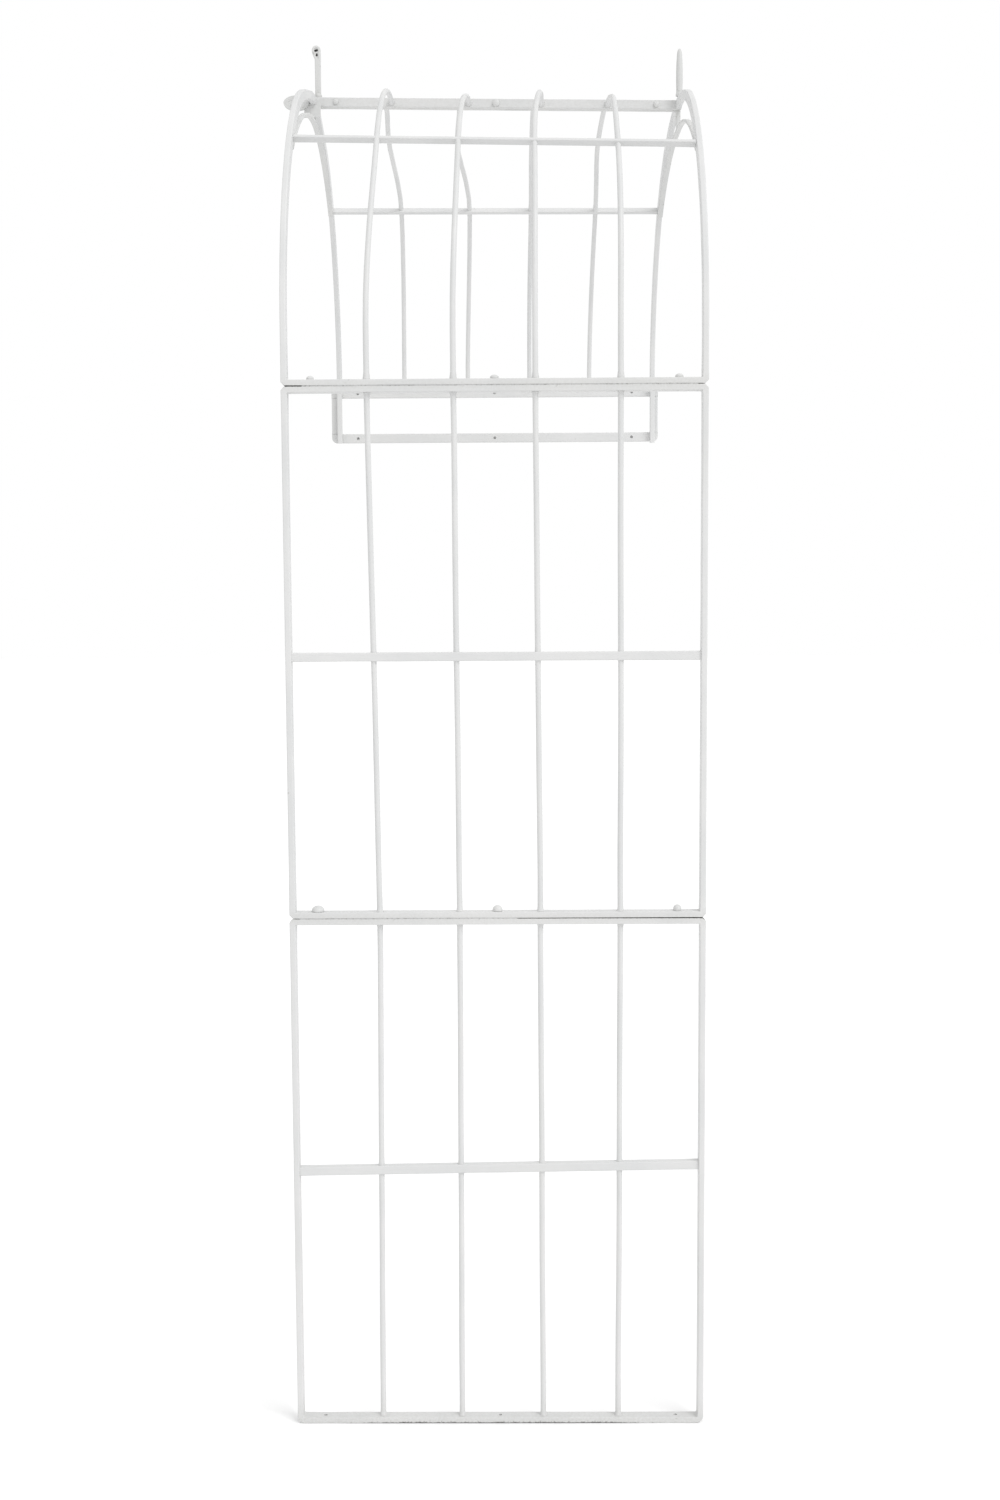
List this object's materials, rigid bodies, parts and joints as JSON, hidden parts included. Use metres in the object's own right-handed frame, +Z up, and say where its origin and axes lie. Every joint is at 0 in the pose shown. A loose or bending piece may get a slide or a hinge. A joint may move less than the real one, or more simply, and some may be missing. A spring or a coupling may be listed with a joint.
{
  "type": "rose arch",
  "caption": "Tall lean-to rose arch of painted iron: a ladder-like leg of rods and flat bars, a round barred crown and a flat frame that fixes to a wall.",
  "frame": {"origin": "on the ground, at the centre of the bounding box seen from above; the panels' own middle lies 25 mm to +X of it, because the ridge scroll reaches out at -X", "axes": "+Z up; +Y from the standing leg towards the wall; X across the panels and along the path that passes under the arch"},
  "size_m": [0.6994, 0.962, 2.2828],
  "materials": {
    "painted_bar": "hand-painted white, semi-matt",
    "painted_rod": "hand-painted white, semi-matt",
    "painted_bolt": "white paint over bolt heads",
    "painted_ornament": "thick white paint"
  },
  "bodies": {
    "root": {"lower_leg_foot_strip": "painted_bar", "lower_leg_top_strip": "painted_bar", "lower_leg_left_rail": "painted_bar", "lower_leg_right_rail": "painted_bar", "lower_leg_cross_bar": "painted_bar", "lower_leg_rod_1": "painted_rod", "lower_leg_rod_2": "painted_rod", "lower_leg_rod_3": "painted_rod", "lower_leg_rod_4": "painted_rod", "upper_leg_base_strip": "painted_bar", "upper_leg_top_strip": "painted_bar", "upper_leg_left_rail": "painted_bar", "upper_leg_right_rail": "painted_bar", "upper_leg_cross_bar": "painted_bar", "upper_leg_rod_1": "painted_rod", "upper_leg_rod_2": "painted_rod", "upper_leg_rod_3": "painted_rod", "upper_leg_rod_4": "painted_rod", "front_arch_base_strip": "painted_bar", "front_arch_ridge_strip": "painted_bar", "front_arch_left_rail": "painted_bar", "front_arch_right_rail": "painted_bar", "front_arch_cross_bar": "painted_bar", "front_arch_rod_1": "painted_rod", "front_arch_rod_2": "painted_rod", "front_arch_rod_3": "painted_rod", "front_arch_rod_4": "painted_rod", "back_arch_ridge_strip": "painted_bar", "back_arch_left_rail": "painted_bar", "back_arch_right_rail": "painted_bar", "back_arch_cross_bar": "painted_bar", "back_arch_rod_1": "painted_rod", "back_arch_rod_2": "painted_rod", "back_arch_rod_3": "painted_rod", "back_arch_rod_4": "painted_rod", "wall_upper_bar": "painted_bar", "wall_lower_bar": "painted_bar", "wall_left_post": "painted_bar", "wall_right_post": "painted_bar", "mid_leg_left_bolt": "painted_bolt", "mid_leg_centre_bolt": "painted_bolt", "mid_leg_right_bolt": "painted_bolt", "springing_left_bolt": "painted_bolt", "springing_centre_bolt": "painted_bolt", "springing_right_bolt": "painted_bolt", "ridge_left_bolt": "painted_bolt", "ridge_centre_bolt": "painted_bolt", "ridge_right_bolt": "painted_bolt", "left_crown_brace": "painted_ornament", "right_crown_brace": "painted_ornament", "left_finial": "painted_ornament", "right_finial": "painted_ornament", "left_ridge_scroll": "painted_ornament"}
  },
  "joints": []
}
